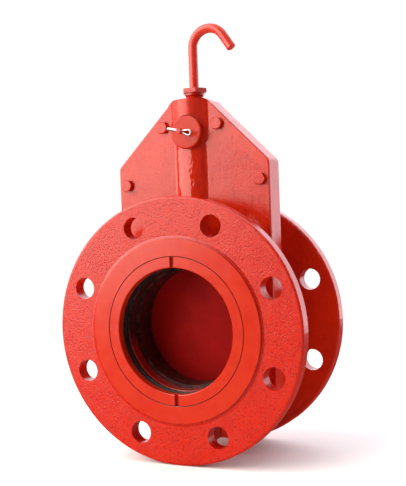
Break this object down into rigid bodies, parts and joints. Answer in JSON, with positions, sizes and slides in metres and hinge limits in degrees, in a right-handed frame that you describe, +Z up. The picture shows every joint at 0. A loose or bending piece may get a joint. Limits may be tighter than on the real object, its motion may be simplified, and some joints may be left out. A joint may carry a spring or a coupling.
{
  "type": "gate valve",
  "caption": "Flanged slide gate valve with a flat two-part housing, a hooked pull rod through a gland, and a spring latch with a split pin.",
  "frame": {"origin": "centre of the inlet flange's raised face, on the bore axis", "axes": "+Y along the bore from inlet to outlet, +Z up along the pull rod towards the hook, +X to the right seen from the inlet"},
  "size_m": [0.2286, 0.114, 0.3812],
  "materials": {
    "red_casting": "glossy red enamel over a pitted casting",
    "red_machined": "smooth glossy red enamel over turned faces",
    "red_gate": "dark red enamel",
    "red_rod": "glossy red enamel on round bar",
    "red_fastener": "thick glossy red enamel over bolts, nuts and plug",
    "black_rubber": "matt moulded nitrile rubber",
    "gasket_fibre": "fibre gasket, painted over at its edge",
    "bright_steel": "bright turned steel",
    "spring_steel": "drawn spring wire",
    "zinc_steel": "bright zinc plate",
    "brass": "turned brass",
    "copper": "soft copper",
    "graphite_packing": "braided graphite packing"
  },
  "bodies": {
    "valve_body": {"body_front": "red_casting", "body_rear": "red_casting", "body_gasket": "gasket_fibre", "housing_bolts": "red_fastener", "housing_washers": "red_fastener", "housing_nuts": "red_fastener", "dowel_pins": "bright_steel", "retaining_ring_front": "red_machined", "retaining_ring_rear": "red_machined", "bore_seal_front": "black_rubber", "bore_seal_rear": "black_rubber", "backing_ring_front": "red_machined", "backing_ring_rear": "red_machined", "seat_ring_front": "black_rubber", "seat_ring_rear": "black_rubber", "stuffing_box": "brass", "packing_washer": "brass", "packing_rings": "graphite_packing", "gland_follower": "brass", "gland_nut": "red_fastener", "lock_cap": "red_machined", "lock_spring": "spring_steel", "drain_bush": "brass", "drain_washer": "copper", "drain_plug": "red_fastener"},
    "gate_and_rod": {"gate": "red_gate", "pull_rod": "red_rod", "rod_pin": "bright_steel"},
    "latch": {"lock_plunger": "bright_steel", "split_pin": "zinc_steel"}
  },
  "joints": [
    {"name": "gate_slide", "type": "slide", "parent": "valve_body", "child": "gate_and_rod", "axis": [0, 0, 1], "range_m": [0, 0.107]},
    {"name": "latch_pull", "type": "slide", "parent": "valve_body", "child": "latch", "axis": [0, -1, 0], "range_m": [0, 0.0032], "stiffness_N_per_m": 900, "springref_m": -0.004, "deforming": ["lock_spring"]}
  ]
}
